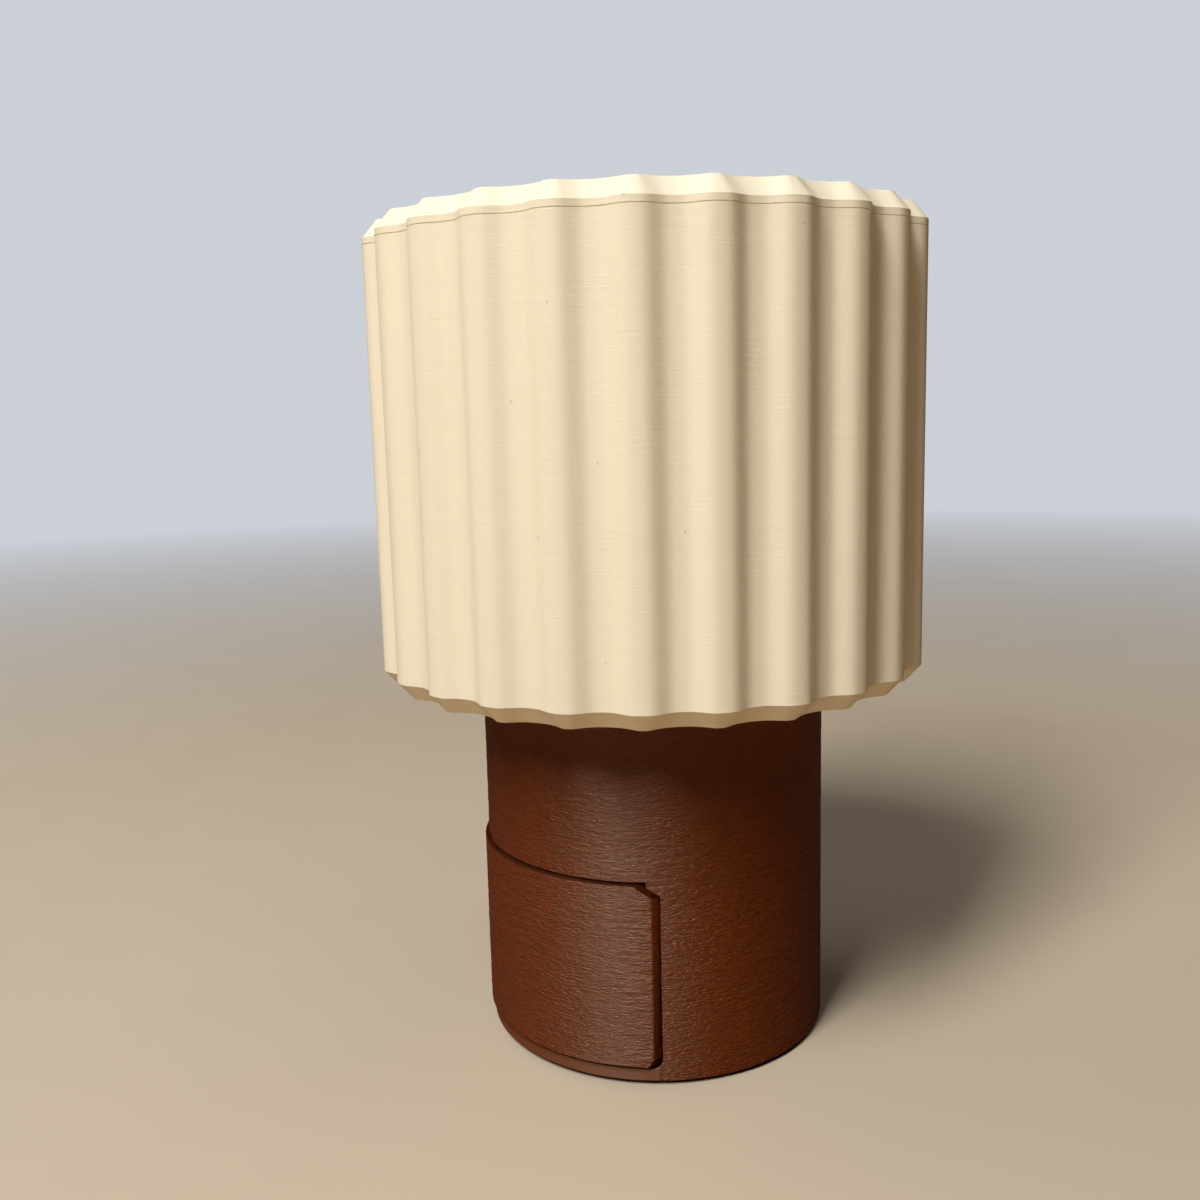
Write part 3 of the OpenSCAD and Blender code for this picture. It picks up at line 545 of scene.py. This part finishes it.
def make_floor():
    """Pale floor that turns into the backdrop's colour far from the lamp, so that no horizon shows."""
    f = Finish("floor", FLOOR_COLOR, 0.6)
    ray = f.node("LightPath").outputs
    bounce = f.blend(ray["Is Glossy Ray"], FLOOR_BOUNCE, tone(FLOOR_BOUNCE, FLOOR_IN_GLOSS))
    f.set(base_color=f.blend(ray["Is Camera Ray"], bounce, FLOOR_COLOR),
          roughness=f.ramp(f.noise(40, 2), 0.3, 0.7, 0.55, 0.65))
    far = f.ramp(f.vector("LENGTH", f.place, result="Value"), FLOOR_FADE_FROM / MM, FLOOR_FADE_TO / MM)
    glow = f.fill(f.node("Emission"), {"Color": (*BACKDROP_COLOR, 1)})
    seen_far = f.math("MULTIPLY", far, ray["Is Camera Ray"])
    join = f.fill(f.node("MixShader"), {0: seen_far, 1: f.shader.outputs[0], 2: glow.outputs[0]})
    f.fill(f.tree.nodes["Material Output"], {"Surface": join.outputs[0]})

    corners = [(x * FLOOR_REACH, y * FLOOR_REACH, 0) for x, y in ((-1, -1), (1, -1), (1, 1), (-1, 1))]
    mesh = bpy.data.meshes.new("floor")
    mesh.from_pydata(corners, [], [(0, 1, 2, 3)])
    mesh.materials.append(f.material)
    floor = bpy.data.objects.new("floor", mesh)
    bpy.context.scene.collection.objects.link(floor)


def make_world():
    """Even backdrop for what the camera sees, much weaker in gloss, and a weak warm light on the lamp."""
    world = bpy.data.worlds.new("studio")
    bpy.context.scene.world = world
    world.use_nodes = True
    tree = world.node_tree
    ambient = tree.nodes["Background"]
    gloss, backdrop = (tree.nodes.new("ShaderNodeBackground") for _ in range(2))
    for node, color, strength in ((ambient, AMBIENT_COLOR, AMBIENT), (gloss, BACKDROP_COLOR, GLOSS_LEVEL),
                                  (backdrop, BACKDROP_COLOR, 1.0)):
        node.inputs["Color"].default_value = (*color, 1)
        node.inputs["Strength"].default_value = strength
    ray = tree.nodes.new("ShaderNodeLightPath").outputs
    before = ambient
    for switch, after in (("Is Glossy Ray", gloss), ("Is Transmission Ray", backdrop),
                          ("Is Camera Ray", backdrop)):
        join = tree.nodes.new("ShaderNodeMixShader")
        tree.links.new(ray[switch], join.inputs[0])
        tree.links.new(before.outputs[0], join.inputs[1])
        tree.links.new(after.outputs[0], join.inputs[2])
        before = join
    tree.links.new(before.outputs[0], tree.nodes["World Output"].inputs["Surface"])


def area_light(name, azimuth, elevation, size, power, color, shows=True):
    """Soft panel that faces the lamp: its size in metres, its power in watts, and if reflections show it."""
    data = bpy.data.lights.new(name, "AREA")
    data.shape, data.size, data.size_y = "RECTANGLE", *size
    data.energy, data.color = power, color
    light = bpy.data.objects.new(name, data)
    bpy.context.scene.collection.objects.link(light)
    light.visible_glossy = shows
    light.location = LIGHT_AIM + LIGHT_DISTANCE * around(azimuth, elevation)
    light.rotation_mode = "QUATERNION"
    light.rotation_quaternion = (-around(azimuth, elevation)).to_track_quat("-Z", "Y")


make_camera()
make_floor()
make_world()
area_light("window", -30, 49, (0.5, 1.0), 46.0, (0.98, 1.0, 0.98))
area_light("window_glow", -115, 46, (1.2, 0.9), 5.5, (0.97, 1.0, 1.0))
area_light("ceiling", 60, 74, (1.4, 1.4), 4.0, (1.0, 1.0, 1.0), shows=False)
area_light("wall", 132, 40, (1.0, 1.0), 1.2, (1.0, 0.86, 0.72))

bpy.context.scene.view_settings.view_transform = "Standard"
